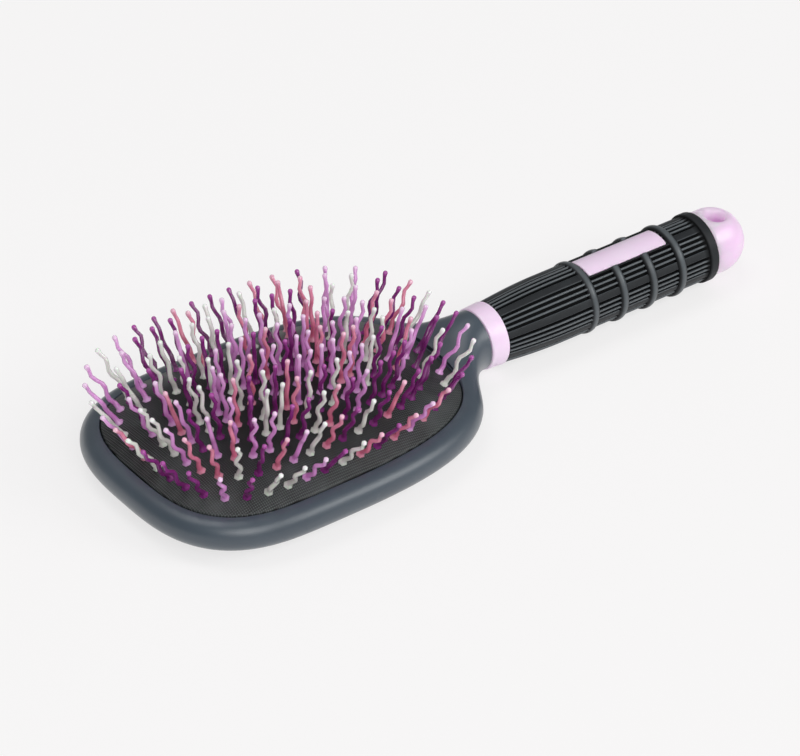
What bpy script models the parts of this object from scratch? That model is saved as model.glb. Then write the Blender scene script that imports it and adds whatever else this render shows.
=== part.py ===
# A cushioned paddle brush for manes and tails.
# It lies on its back: +X runs from the head to the handle's end, +Y across, +Z up towards the pins.
# All lengths are in metres.

import math
import random

import bmesh
import bpy
import numpy as np
from mathutils import Vector

# Clearance between pieces that touch, the overrun of every cut, and the weld of a swept mesh.
FIT_GAP = 0.0003
CUT_OVERRUN = 0.002
WELD_DISTANCE = 0.00001

# Plan of the pad opening in the head, measured from its widest line.
PAD_FRONT_REACH = 0.0422
PAD_BACK_REACH = 0.0750
PAD_HALF_WIDTH = 0.0425
PAD_CORNER_POWER = 3.05

# Head shell.
HEAD_RIM_WIDTH = 0.0067
HEAD_EDGE_THICKNESS = 0.0112
HEAD_BACK_CROWN = 0.0040
HEAD_BACK_CROWN_SHARES = ((1.0, 0.0), (0.33, 0.50))
HEAD_WALL = 0.0020
HEAD_FLOOR_THICKNESS = 0.0030
HEAD_LIP_THICKNESS = 0.0022
HEAD_LIP_ROUND = 0.0005
GROOVE_DEPTH = 0.0015
LEDGE_WIDTH = 0.0016
REST_FACE_INSET = 0.0220
RIM_ARC_START = math.radians(-75)
RIM_ARC_END = math.radians(90)

# Neck between the head and the collar.
NECK_LENGTH = 0.0111
NECK_RADIUS = 0.0105
NECK_ROOT_HALF_WIDTH = 0.0275
NECK_ROOT_HEIGHT_SHARE = 0.96
NECK_ROOT_PLACE_SHARE = 0.25

# Rubber cushion.
CUSHION_CROWN = 0.0095
CUSHION_CROWN_POWER = 3.0
CUSHION_SKIN = 0.0012
CUSHION_WALL = 0.0018
CUSHION_EDGE_BAND = 0.0036
FLANGE_THICKNESS = 0.0016

# Pins.
PIN_LENGTH = 0.0187
PIN_RING_COUNT = 5
PIN_EDGE_DISTANCE = 0.0056
PIN_MIDDLE_ROOM = 0.0016
PIN_PITCH = 0.0071
PIN_PITCH_DROP = 0.0006
PIN_FLARE_RADIUS = 0.00160
PIN_ROOT_RADIUS = 0.00090
PIN_TOP_RADIUS = 0.00067
PIN_BALL_RADIUS = 0.00094
PIN_WAVE = 0.00085
PIN_WAVE_CYCLES = 1.5
PIN_WAVE_START_SHARE = 0.16
PIN_WAVE_END_SHARE = 0.94
PIN_LEAN_ALONG_SHARE = 0.90
PIN_LEAN_ALONG_POWER = 2.5
PIN_LEAN_ACROSS_SHARE = 1.12
PIN_LEAN_ACROSS_POWER = 2.1
PIN_SLOTS = ("plum", "orchid", "rose", "pearl")
PIN_SLOT_WEIGHTS = (7, 5, 4, 4)
PIN_SEED = 4510153

# Handle.
COLLAR_LENGTH = 0.0069
COLLAR_NECK_RADIUS = 0.0109
COLLAR_GRIP_RADIUS = 0.0113
COLLAR_EDGE_ROUND = 0.0005
SPIGOT_RADIUS = 0.0045
SPIGOT_DEPTH = 0.0060
CORE_RADIUS = 0.0080
CORE_TENON_LENGTH = 0.0016
GRIP_LENGTH = 0.0890
GRIP_START_RADIUS = 0.0109
GRIP_SWELL_RADIUS = 0.0123
GRIP_SWELL_LENGTH = 0.0240
GRIP_VALLEY_RADIUS = 0.0120
GRIP_END_VALLEY_RADIUS = 0.0118
GRIP_GROOVE_DEPTH = 0.0010
HOOP_RADIUS = 0.0129
HOOP_WIDTH = 0.0038
HOOP_CREST_WIDTH = 0.0018
FIRST_HOOP_PLACE = 0.0355
LAST_HOOP_SETBACK = 0.0157
HOOP_COUNT = 4
END_RING_RADIUS = 0.0125
END_RING_WIDTH = 0.0036
END_RING_ROUND = 0.0006
PLATE_HALF_ANGLE = math.radians(25.5)
PLATE_RADIUS = 0.0119
CAP_RADIUS = 0.01155
CAP_STRAIGHT = 0.0056
CAP_EDGE_ROUND = 0.0004
HANG_HOLE_RADIUS = 0.0033
HANG_HOLE_MOUTH_RADIUS = 0.0041
HANG_HOLE_MOUTH_DEPTH = 0.0022
HANG_HOLE_PLACE = 0.0067

# The grip's section: a land takes its share of a sector, and grooves with thin ribs between them the rest.
LAND_COUNT = 8
LAND_SHARE = 0.32
FIELD_GROOVE_COUNT = 4
GRIP_SWELL_SHARES = (0.0, 0.25, 0.6, 1.0)
MOUTH_FLARE_SHARES = (1.0, 0.6, 0.3, 0.0)

# Counts of sides, stations and samples.
PLAN_SIDES = 32
NECK_SIDES = 28
NECK_STATIONS = 8
RIM_ARC_STEPS = 8
TURNED_SIDES = 32
HOLE_SIDES = 24
CAP_STEPS = 7
PLATE_STEPS = 7
PIN_SIDES = 3
PIN_STATIONS = 8
CURVE_SAMPLES = 1440

# Places worked out from the sizes above. The drawing starts at the collar's grip face, on the handle's axis.
AXIS_HEIGHT = HOOP_RADIUS
NECK_END_X = -COLLAR_LENGTH - FIT_GAP
HEAD_BACK_X = NECK_END_X - NECK_LENGTH
PAD_BACK_X = HEAD_BACK_X - HEAD_RIM_WIDTH
WIDEST_X = PAD_BACK_X - PAD_BACK_REACH
PAD_FRONT_X = WIDEST_X - PAD_FRONT_REACH
PAD_MIDDLE_X = (PAD_FRONT_X + PAD_BACK_X) / 2
PAD_HALF_LENGTH = (PAD_BACK_X - PAD_FRONT_X) / 2
PAD_DEPTH = min(PAD_FRONT_REACH, PAD_HALF_WIDTH)
PIN_RING_PITCH = (PAD_DEPTH - PIN_EDGE_DISTANCE - PIN_MIDDLE_ROOM) / PIN_RING_COUNT
NECK_ROOT_REACH = GROOVE_DEPTH + (HEAD_RIM_WIDTH - GROOVE_DEPTH) * NECK_ROOT_PLACE_SHARE
RIM_TOP = HEAD_BACK_CROWN + HEAD_EDGE_THICKNESS
SIDE_RADIUS = HEAD_EDGE_THICKNESS / 2
SIDE_HEIGHT = HEAD_BACK_CROWN + SIDE_RADIUS
LIP_UNDERSIDE = RIM_TOP - HEAD_LIP_THICKNESS
FLANGE_TOP = LIP_UNDERSIDE - FIT_GAP
FLANGE_BOTTOM = FLANGE_TOP - FLANGE_THICKNESS
GROOVE_BOTTOM = FLANGE_BOTTOM - FIT_GAP
CAP_START_X = GRIP_LENGTH + FIT_GAP
CAP_BALL_X = CAP_START_X + CAP_STRAIGHT
FRONT_END_X = PAD_FRONT_X - HEAD_RIM_WIDTH
BACK_END_X = CAP_BALL_X + CAP_RADIUS
FRAME_SHIFT = -(FRONT_END_X + BACK_END_X) / 2
LAST_HOOP_PLACE = GRIP_LENGTH - LAST_HOOP_SETBACK
HOOP_PITCH = (LAST_HOOP_PLACE - FIRST_HOOP_PLACE) / (HOOP_COUNT - 1)
PLATE_START_X = FIRST_HOOP_PLACE + HOOP_WIDTH / 2 + FIT_GAP
PLATE_END_X = LAST_HOOP_PLACE - HOOP_WIDTH / 2 - FIT_GAP

# Colour and roughness of each material.
FINISHES = {
    "slate": ((0.095, 0.115, 0.135, 1.0), 0.45),
    "rubber": ((0.030, 0.034, 0.033, 1.0), 0.60),
    "lilac": ((0.870, 0.660, 0.870, 1.0), 0.35),
    "plum": ((0.150, 0.012, 0.120, 1.0), 0.25),
    "orchid": ((0.520, 0.190, 0.520, 1.0), 0.30),
    "rose": ((0.600, 0.140, 0.230, 1.0), 0.30),
    "pearl": ((0.620, 0.620, 0.570, 1.0), 0.30),
}


# Scene and material helpers

def clear_scene():
    for item in list(bpy.data.objects):
        bpy.data.objects.remove(item, do_unlink=True)


def new_collection(name):
    collection = bpy.data.collections.new(name)
    bpy.context.scene.collection.children.link(collection)
    return collection


def new_empty(name, place, collection, parent=None):
    empty = bpy.data.objects.new(name, None)
    empty.location = place
    empty.parent = parent
    collection.objects.link(empty)
    return empty


def material(slot):
    found = bpy.data.materials.get(slot)
    if found:
        return found
    made = bpy.data.materials.new(slot)
    made.use_nodes = True
    shader = made.node_tree.nodes["Principled BSDF"]
    color, roughness = FINISHES[slot]
    shader.inputs["Base Color"].default_value = color
    shader.inputs["Roughness"].default_value = roughness
    shader.inputs["Metallic"].default_value = 0.0
    made.diffuse_color = color
    return made


def add_object(name, mesh, collection, parent, slots=()):
    item = bpy.data.objects.new(name, mesh)
    item.parent = parent
    collection.objects.link(item)
    for slot in slots:
        mesh.materials.append(material(slot))
    return item


def face_outwards(mesh):
    work = bmesh.new()
    work.from_mesh(mesh)
    bmesh.ops.recalc_face_normals(work, faces=work.faces)
    work.to_mesh(mesh)
    work.free()


def smooth(item, sharp_angle=math.radians(35)):
    item.data.shade_smooth()
    item.data.set_sharp_from_angle(angle=sharp_angle)


def boolean(item, cutter, operation):
    cutter.hide_render = True
    cutter.display_type = "WIRE"
    step = item.modifiers.new(cutter.name, "BOOLEAN")
    step.operation = operation
    step.solver = "EXACT"
    step.object = cutter


# Ways of making a solid

def ring_faces(ring_count, sides, closed_loop):
    """Quads that join ring after ring of points, each ring with the same number of sides."""
    faces = []
    steps = ring_count if closed_loop else ring_count - 1
    for ring in range(steps):
        low = ring * sides
        high = ((ring + 1) % ring_count) * sides
        for side in range(sides):
            after = (side + 1) % sides
            faces.append((low + side, low + after, high + after, high + side))
    return faces


def ladder_faces(first, sides):
    """Faces that close a ring like the rungs of a ladder, from its first point towards its opposite one."""
    faces = [(first, first + 1, first + sides - 1)]
    low, high = first + 1, first + sides - 1
    while high - low > 2:
        faces.append((low, low + 1, high - 1, high))
        low += 1
        high -= 1
    if high - low == 2:
        faces.append((low, low + 1, high))
    return faces


def lofted(name, rings, collection, parent, slots=(), closed_loop=False):
    """A solid through a stack of rings, closed at both ends, or a hoop whose last ring joins its first."""
    sides = len(rings[0])
    faces = ring_faces(len(rings), sides, closed_loop)
    if not closed_loop:
        faces += ladder_faces(0, sides)
        faces += ladder_faces((len(rings) - 1) * sides, sides)
    mesh = bpy.data.meshes.new(name)
    mesh.from_pydata(np.concatenate(rings).tolist(), [], faces)
    face_outwards(mesh)
    return add_object(name, mesh, collection, parent, slots)


def turned(name, profile, collection, parent, slots=(), sides=TURNED_SIDES, closed=False):
    """A solid turned about its own Z. The profile lists (height, radius), down the outer side."""
    points = [(radius, 0.0, height) for height, radius in profile]
    edges = [(index, index + 1) for index in range(len(points) - 1)]
    if closed:
        edges.append((len(points) - 1, 0))
    mesh = bpy.data.meshes.new(name)
    mesh.from_pydata(points, edges, [])
    item = add_object(name, mesh, collection, parent, slots)
    screw = item.modifiers.new("turning", "SCREW")
    screw.axis = "Z"
    screw.angle = 2 * math.pi
    screw.steps = sides
    screw.render_steps = sides
    screw.use_merge_vertices = True
    screw.merge_threshold = WELD_DISTANCE
    screw.use_smooth_shade = True
    return item


def curve_to_mesh(name, curve, collection, parent, slots=()):
    """The welded mesh of a curve, because a curve can't be cut or joined."""
    source = bpy.data.objects.new(name + "_curve", curve)
    collection.objects.link(source)
    evaluated = source.evaluated_get(bpy.context.evaluated_depsgraph_get())
    mesh = bpy.data.meshes.new_from_object(evaluated)
    bpy.data.objects.remove(source, do_unlink=True)
    work = bmesh.new()
    work.from_mesh(mesh)
    bmesh.ops.remove_doubles(work, verts=work.verts, dist=WELD_DISTANCE)
    bmesh.ops.recalc_face_normals(work, faces=work.faces)
    work.to_mesh(mesh)
    work.free()
    mesh.name = name
    return add_object(name, mesh, collection, parent, slots)


def flat_curve(name, outline):
    """A closed flat outline of straight runs."""
    curve = bpy.data.curves.new(name, "CURVE")
    curve.dimensions = "2D"
    curve.fill_mode = "BOTH"
    spline = curve.splines.new("POLY")
    spline.points.add(len(outline) - 1)
    for point, (x, y) in zip(spline.points, outline):
        point.co = (x, y, 0.0, 1.0)
    spline.use_cyclic_u = True
    return curve


# Plan curves of the head

def dense_plan(inset, start=0.0):
    """The pad opening drawn in by inset: a superellipse with a short front half and a long back half."""
    turn = start + np.linspace(0.0, 2 * math.pi, CURVE_SAMPLES + 1)
    power = 2 / PAD_CORNER_POWER
    along = np.sign(np.cos(turn)) * np.abs(np.cos(turn)) ** power
    across = np.sign(np.sin(turn)) * np.abs(np.sin(turn)) ** power
    reach = np.where(along > 0, PAD_BACK_REACH, PAD_FRONT_REACH) - inset
    return np.column_stack([WIDEST_X + reach * along, (PAD_HALF_WIDTH - inset) * across])


def spread(dense, effort, count, first_share=0.0):
    """Points on a closed curve with the same effort between each two, the first a share of a step on."""
    way = np.concatenate([[0.0], np.cumsum(effort)])
    wanted = (np.arange(count) + first_share) * way[-1] / count
    return np.column_stack([np.interp(wanted, way, dense[:, 0]), np.interp(wanted, way, dense[:, 1])])


def plan_curve(inset):
    """The drawn-in pad opening with its points closer where it bends, so each chord strays alike."""
    dense = dense_plan(inset)
    steps = np.diff(dense, axis=0)
    heading = np.unwrap(np.arctan2(steps[:, 1], steps[:, 0]))
    bend = np.abs(np.gradient(heading))
    return spread(dense, np.sqrt(np.linalg.norm(steps, axis=1) * bend), PLAN_SIDES)


def evenly_spaced(inset, pitch):
    """Points an equal way apart, about one pitch, on the drawn-in pad opening; two straddle its front end."""
    dense = dense_plan(inset, math.pi)
    steps = np.linalg.norm(np.diff(dense, axis=0), axis=1)
    return spread(dense, steps, round(steps.sum() / pitch), 0.5)


def grown(points, width):
    """A plan curve moved outwards by width along its own normals."""
    tangent = np.roll(points, -1, axis=0) - np.roll(points, 1, axis=0)
    normal = np.column_stack([tangent[:, 1], -tangent[:, 0]])
    normal /= np.linalg.norm(normal, axis=1)[:, None]
    return points + normal * width


def at_height(points, height):
    return np.column_stack([points, np.broadcast_to(height, len(points))])


def cushion_height(x, y):
    """Height of the cushion's crown: highest in the middle of the pad and level with the rim at its edge."""
    edge = dense_plan(0.0)[:-1] - (PAD_MIDDLE_X, 0.0)
    edge_angle = np.arctan2(edge[:, 1], edge[:, 0])
    order = np.argsort(edge_angle)
    edge_reach = np.hypot(edge[:, 0], edge[:, 1])[order]
    angle = np.arctan2(y, x - PAD_MIDDLE_X)
    reach = np.interp(angle, edge_angle[order], edge_reach, period=2 * math.pi)
    share = np.clip(np.hypot(y, x - PAD_MIDDLE_X) / reach, 0, 1)
    return RIM_TOP + CUSHION_CROWN * (1 - share ** CUSHION_CROWN_POWER)


def crowned(inset, drop):
    """A plan curve laid under the cushion's crown by drop."""
    points = plan_curve(inset)
    return at_height(points, cushion_height(points[:, 0], points[:, 1]) - drop)


# Head shell

def make_head_shell(parts, cutters, brush, handle):
    """A tray with a round rim, a groove for the cushion's flange, and a neck with a socket in its end."""
    edge = plan_curve(0.0)
    groove = grown(edge, GROOVE_DEPTH)
    ledge = plan_curve(LEDGE_WIDTH)
    rings = []
    for inset_share, height_share in HEAD_BACK_CROWN_SHARES:
        rings.append(at_height(plan_curve(REST_FACE_INSET * inset_share), HEAD_BACK_CROWN * height_share))
    arc_middle = HEAD_RIM_WIDTH - SIDE_RADIUS
    for turn in np.linspace(RIM_ARC_START, RIM_ARC_END, RIM_ARC_STEPS + 1):
        outer = grown(edge, arc_middle + SIDE_RADIUS * math.cos(turn))
        rings.append(at_height(outer, SIDE_HEIGHT + SIDE_RADIUS * math.sin(turn)))
    rings.append(at_height(edge, RIM_TOP - HEAD_LIP_ROUND))
    rings.append(at_height(edge, LIP_UNDERSIDE))
    rings.append(at_height(groove, LIP_UNDERSIDE))
    rings.append(at_height(groove, GROOVE_BOTTOM))
    rings.append(at_height(ledge, GROOVE_BOTTOM))
    rings.append(at_height(ledge, HEAD_BACK_CROWN + HEAD_WALL))
    rings.append(at_height(plan_curve(REST_FACE_INSET), HEAD_FLOOR_THICKNESS))
    shell = lofted("head_shell", rings, parts, brush, ["slate"])

    neck = lofted("neck_block", neck_rings(), cutters, brush)
    boolean(shell, neck, "UNION")
    socket_radius = SPIGOT_RADIUS + FIT_GAP
    socket_end = NECK_END_X - SPIGOT_DEPTH - FIT_GAP
    socket = turned("neck_socket", [
        (NECK_END_X + CUT_OVERRUN, 0.0),
        (NECK_END_X + CUT_OVERRUN, socket_radius),
        (socket_end, socket_radius),
        (socket_end, 0.0),
    ], cutters, handle)
    boolean(shell, socket, "DIFFERENCE")
    smooth(shell)


def neck_flare_power(rim):
    """The power of the neck's flare that lets its sides start in the rim's own direction."""
    x, y = rim.T
    root_x = np.interp(NECK_ROOT_HALF_WIDTH, y, x)
    rim_slope = -np.interp(NECK_ROOT_HALF_WIDTH, y, np.gradient(x, y))
    return (NECK_END_X - root_x) / (rim_slope * (NECK_ROOT_HALF_WIDTH - NECK_RADIUS))


def neck_rings():
    """Sections from a wide flat oval, bent along the middle of the head's rim, to a circle at the collar."""
    rings = []
    root_half_height = SIDE_RADIUS * NECK_ROOT_HEIGHT_SHARE
    turn = np.linspace(0.0, 2 * math.pi, NECK_SIDES, endpoint=False)
    rim_middle = grown(dense_plan(0.0)[:-1], NECK_ROOT_REACH)
    back_half = rim_middle[rim_middle[:, 0] > WIDEST_X]
    back_half = back_half[np.argsort(back_half[:, 1])]
    root_x = np.interp(NECK_ROOT_HALF_WIDTH * np.cos(turn), back_half[:, 1], back_half[:, 0])
    power = neck_flare_power(back_half)
    for share in np.linspace(0.0, 1.0, NECK_STATIONS):
        flare = (1 - share) ** power
        rise = 1 - flare
        half_width = NECK_RADIUS + (NECK_ROOT_HALF_WIDTH - NECK_RADIUS) * flare
        half_height = root_half_height + (NECK_RADIUS - root_half_height) * rise
        middle = SIDE_HEIGHT + (AXIS_HEIGHT - SIDE_HEIGHT) * rise
        rings.append(np.column_stack([
            root_x + (NECK_END_X - root_x) * share,
            half_width * np.cos(turn),
            middle + half_height * np.sin(turn),
        ]))
    return rings


# Cushion and pins

def slice_cuts():
    """Insets of the cuts between the rings of pins, from the cushion's edge band inwards."""
    cuts = [CUSHION_EDGE_BAND]
    for ring in range(1, PIN_RING_COUNT + 1):
        cuts.append(PIN_EDGE_DISTANCE + ring * PIN_RING_PITCH - PIN_RING_PITCH / 2)
    return cuts


def make_cushion(parts, brush):
    """A domed rubber pad: a shelf under the slices of skin, an edge band, a flange in the head's groove."""
    edge = plan_curve(0.0)
    shelf_drop = CUSHION_SKIN + FIT_GAP
    under_drop = shelf_drop + CUSHION_WALL
    cuts = slice_cuts()
    band_inset = CUSHION_EDGE_BAND - FIT_GAP
    rings = [crowned(inset, shelf_drop) for inset in reversed(cuts[1:])]
    rings.append(crowned(band_inset, shelf_drop))
    rings.append(crowned(band_inset, 0.0))
    rings.append(crowned(FIT_GAP, 0.0))
    rings.append(at_height(grown(edge, -FIT_GAP), FLANGE_TOP))
    rings.append(at_height(grown(edge, GROOVE_DEPTH - FIT_GAP), FLANGE_TOP))
    rings.append(at_height(grown(edge, GROOVE_DEPTH - FIT_GAP), FLANGE_BOTTOM))
    rings.append(at_height(plan_curve(CUSHION_EDGE_BAND), FLANGE_BOTTOM))
    rings += [crowned(inset, under_drop) for inset in cuts[2::3]]
    smooth(lofted("cushion_pad", rings, parts, brush, ["rubber"]))


def pin_places():
    """Plan points of the pins: rings along the pad's edge, closer set inwards, and a row in the middle."""
    places = []
    for ring in range(PIN_RING_COUNT):
        inset = PIN_EDGE_DISTANCE + ring * PIN_RING_PITCH
        pitch = PIN_PITCH - ring * PIN_PITCH_DROP
        places.append(evenly_spaced(inset, pitch))
    row_start = PAD_FRONT_X + inset + PIN_RING_PITCH
    row_end = PAD_BACK_X - inset - PIN_RING_PITCH
    count = round((row_end - row_start) / pitch) + 1
    places.append(np.column_stack([np.linspace(row_start, row_end, count), np.zeros(count)]))
    return places


def pin_direction(x, y):
    """Pins stand straight in the middle and fan out towards the edges."""
    along = (x - PAD_MIDDLE_X) / PAD_HALF_LENGTH
    across = y / PAD_HALF_WIDTH
    return Vector((
        PIN_LEAN_ALONG_SHARE * math.copysign(abs(along) ** PIN_LEAN_ALONG_POWER, along),
        PIN_LEAN_ACROSS_SHARE * math.copysign(abs(across) ** PIN_LEAN_ACROSS_POWER, across),
        1.0,
    )).normalized()


def add_pin(curve, x, y, wave_turn):
    """One pin's centre line and radii: a flared root sunk in the skin, a stem that waves, a round tip."""
    up = pin_direction(x, y)
    side = up.orthogonal().normalized()
    wave_way = side * math.cos(wave_turn) + up.cross(side) * math.sin(wave_turn)
    foot = Vector((x, y, float(cushion_height(x, y))))
    spline = curve.splines.new("POLY")
    spline.points.add(PIN_STATIONS - 1)
    for share, point in zip(np.linspace(0.0, 1.0, PIN_STATIONS), spline.points):
        waved = (share - PIN_WAVE_START_SHARE) / (PIN_WAVE_END_SHARE - PIN_WAVE_START_SHARE)
        wave = PIN_WAVE * math.sin(2 * math.pi * PIN_WAVE_CYCLES * min(max(waved, 0.0), 1.0))
        middle = foot + up * (PIN_LENGTH * share) + wave_way * wave
        point.co = (*middle, 1.0)
        point.radius = PIN_ROOT_RADIUS + (PIN_TOP_RADIUS - PIN_ROOT_RADIUS) * share
    first, last = spline.points[0], spline.points[-1]
    first.co = (*(foot - up * (CUSHION_SKIN / 2)), 1.0)
    first.radius = PIN_FLARE_RADIUS
    last.radius = PIN_BALL_RADIUS
    return spline


def make_pins(parts, cutters, carrier):
    """Each ring of pins is one piece with its own slice of the cushion's skin."""
    section = flat_curve("pin_section", [
        (math.cos(2 * math.pi * side / PIN_SIDES), math.sin(2 * math.pi * side / PIN_SIDES))
        for side in range(PIN_SIDES)])
    section.fill_mode = "NONE"
    section_item = bpy.data.objects.new("pin_section", section)
    section_item.hide_render = True
    section_item.display_type = "WIRE"
    cutters.objects.link(section_item)
    chance = random.Random(PIN_SEED)
    slots = ["rubber", *PIN_SLOTS]
    cuts = slice_cuts()
    for index, places in enumerate(pin_places()):
        curve = bpy.data.curves.new("pins_%d" % (index + 1), "CURVE")
        curve.dimensions = "3D"
        curve.bevel_mode = "OBJECT"
        curve.bevel_object = section_item
        curve.use_fill_caps = True
        for slot in slots:
            curve.materials.append(material(slot))
        for x, y in places:
            spline = add_pin(curve, x, y, chance.uniform(0.0, 2 * math.pi))
            spline.material_index = slots.index(chance.choices(PIN_SLOTS, PIN_SLOT_WEIGHTS)[0])
        outer = cuts[index] + (FIT_GAP / 2 if index else 0.0)
        if index < PIN_RING_COUNT:
            inner = cuts[index + 1] - FIT_GAP / 2
            rings = [crowned(outer, 0.0), crowned(outer, CUSHION_SKIN)]
            rings += [crowned(inner, CUSHION_SKIN), crowned(inner, 0.0)]
            name = "bristle_ring_%d" % (index + 1)
            skin = lofted(name, rings, parts, carrier, slots, closed_loop=True)
        else:
            rings = [crowned(outer, CUSHION_SKIN), crowned(outer, 0.0)]
            skin = lofted("bristle_middle_row", rings, parts, carrier, slots)
        pins = curve_to_mesh(curve.name, curve, cutters, carrier)
        smooth(pins)
        smooth(skin)
        boolean(skin, pins, "UNION")


# Pieces of the handle. They are drawn about their own Z, which lies along the brush's +X.

def make_collar(parts, handle):
    bore = SPIGOT_RADIUS + FIT_GAP
    turned("collar_ring", [
        (0.0, bore),
        (0.0, COLLAR_GRIP_RADIUS - COLLAR_EDGE_ROUND),
        (-COLLAR_EDGE_ROUND, COLLAR_GRIP_RADIUS),
        (COLLAR_EDGE_ROUND - COLLAR_LENGTH, COLLAR_NECK_RADIUS),
        (-COLLAR_LENGTH, COLLAR_NECK_RADIUS - COLLAR_EDGE_ROUND),
        (-COLLAR_LENGTH, bore),
    ], parts, handle, ["lilac"], closed=True)


def make_core(parts, handle):
    """The rod inside the handle, with a tenon for the end cap and a spigot through the collar to the neck."""
    tenon_end = CAP_START_X + CORE_TENON_LENGTH
    spigot_end = NECK_END_X - SPIGOT_DEPTH
    turned("handle_core", [
        (tenon_end, 0.0),
        (tenon_end, SPIGOT_RADIUS),
        (GRIP_LENGTH, SPIGOT_RADIUS),
        (GRIP_LENGTH, CORE_RADIUS),
        (FIT_GAP, CORE_RADIUS),
        (FIT_GAP, SPIGOT_RADIUS),
        (spigot_end, SPIGOT_RADIUS),
        (spigot_end, 0.0),
    ], parts, handle, ["lilac"])


def grip_stations():
    """Stations of the sleeve's outside: place, radius, and how deep its grooves are there."""
    stations = []
    for share in GRIP_SWELL_SHARES:
        swell = math.sin(share * math.pi / 2)
        radius = GRIP_START_RADIUS + (GRIP_SWELL_RADIUS - GRIP_START_RADIUS) * swell
        stations.append((FIT_GAP + share * GRIP_SWELL_LENGTH, radius, GRIP_GROOVE_DEPTH))
    before = GRIP_SWELL_RADIUS
    for hoop in range(HOOP_COUNT):
        place = FIRST_HOOP_PLACE + hoop * HOOP_PITCH
        taper = (GRIP_VALLEY_RADIUS - GRIP_END_VALLEY_RADIUS) * hoop / (HOOP_COUNT - 1)
        after = GRIP_VALLEY_RADIUS - taper
        stations.append((place - HOOP_WIDTH / 2, before, GRIP_GROOVE_DEPTH))
        stations.append((place - HOOP_CREST_WIDTH / 2, HOOP_RADIUS, 0.0))
        stations.append((place + HOOP_CREST_WIDTH / 2, HOOP_RADIUS, 0.0))
        stations.append((place + HOOP_WIDTH / 2, after, GRIP_GROOVE_DEPTH))
        before = after
    ring_start = GRIP_LENGTH - END_RING_WIDTH
    stations.append((ring_start, GRIP_END_VALLEY_RADIUS, GRIP_GROOVE_DEPTH))
    stations.append((ring_start + END_RING_ROUND, END_RING_RADIUS, 0.0))
    stations.append((GRIP_LENGTH - END_RING_ROUND, END_RING_RADIUS, 0.0))
    stations.append((GRIP_LENGTH, END_RING_RADIUS - END_RING_ROUND, 0.0))
    return stations


def around(turns, reach, place):
    """Points round the handle's axis, with the turn counted from the side that faces up."""
    return np.column_stack([-reach * np.cos(turns), reach * np.sin(turns), np.full(len(turns), place)])


def make_grip(parts, cutters, handle):
    """Rubber sleeve with eight lands, grooves and thin ribs between each two, four hoops and an end ring."""
    turns, levels = [], []
    for land in range(LAND_COUNT):
        middle = land + 0.5
        turns.append(middle - LAND_SHARE / 2)
        levels.append(0)
        for step in range(2 * FIELD_GROOVE_COUNT):
            turns.append(middle + LAND_SHARE / 2 + (1 - LAND_SHARE) * step / (2 * FIELD_GROOVE_COUNT))
            levels.append(step % 2)
    turns = np.array(turns) * 2 * math.pi / LAND_COUNT
    levels = np.array(levels)
    rings = [around(turns, radius - depth * levels, place) for place, radius, depth in grip_stations()]
    bore = np.full(len(turns), CORE_RADIUS + FIT_GAP)
    rings += [around(turns, bore, place) for place in (GRIP_LENGTH, FIT_GAP)]
    grip = lofted("grip_sleeve", rings, parts, handle, ["rubber"], closed_loop=True)
    window = plate_block("plate_window", CORE_RADIUS - FIT_GAP, HOOP_RADIUS + CUT_OVERRUN, FIT_GAP,
                         cutters, handle)
    boolean(grip, window, "DIFFERENCE")
    smooth(grip)


def plate_block(name, inner, outer, growth, collection, parent, slots=()):
    """A curved block on top of the handle between the first hoop and the last, grown all round by growth."""
    half_angle = PLATE_HALF_ANGLE + growth / PLATE_RADIUS
    turns = np.linspace(-half_angle, half_angle, PLATE_STEPS)
    outline = [(-outer * math.cos(turn), outer * math.sin(turn)) for turn in turns]
    outline += [(-inner * math.cos(turn), inner * math.sin(turn)) for turn in reversed(turns)]
    curve = flat_curve(name, outline)
    curve.extrude = (PLATE_END_X - PLATE_START_X) / 2 + growth
    block = curve_to_mesh(name, curve, collection, parent, slots)
    block.location.z = (PLATE_START_X + PLATE_END_X) / 2
    return block


def make_plate(parts, handle):
    smooth(plate_block("name_plate", CORE_RADIUS + FIT_GAP, PLATE_RADIUS, 0.0, parts, handle, ["lilac"]))


def make_cap(parts, cutters, brush, handle):
    """Domed end with a socket for the core's tenon and a hanging hole, flared at both mouths."""
    profile = []
    for share in np.linspace(0.0, 1.0, CAP_STEPS + 1):
        turn = share * math.pi / 2
        profile.append((CAP_BALL_X + CAP_RADIUS * math.cos(turn), CAP_RADIUS * math.sin(turn)))
    profile[0] = (BACK_END_X, 0.0)
    socket_radius = SPIGOT_RADIUS + FIT_GAP
    socket_end = CAP_START_X + CORE_TENON_LENGTH + FIT_GAP
    profile += [
        (CAP_START_X + CAP_EDGE_ROUND, CAP_RADIUS),
        (CAP_START_X, CAP_RADIUS - CAP_EDGE_ROUND),
        (CAP_START_X, socket_radius),
        (socket_end, socket_radius),
        (socket_end, 0.0),
    ]
    cap = turned("end_cap", profile, parts, handle, ["lilac"])

    mouth = []
    for share in MOUTH_FLARE_SHARES:
        flare = (HANG_HOLE_MOUTH_RADIUS - HANG_HOLE_RADIUS) * share * share
        mouth.append((CAP_RADIUS - HANG_HOLE_MOUTH_DEPTH * (1 - share), HANG_HOLE_RADIUS + flare))
    top = CAP_RADIUS + CUT_OVERRUN
    profile = [(top, 0.0), (top, HANG_HOLE_MOUTH_RADIUS), *mouth]
    profile += [(-height, radius) for height, radius in reversed(profile)]
    hole = turned("hanging_hole", profile, cutters, brush, sides=HOLE_SIDES)
    hole.location = (CAP_START_X + HANG_HOLE_PLACE, 0.0, AXIS_HEIGHT)
    boolean(cap, hole, "DIFFERENCE")


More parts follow.
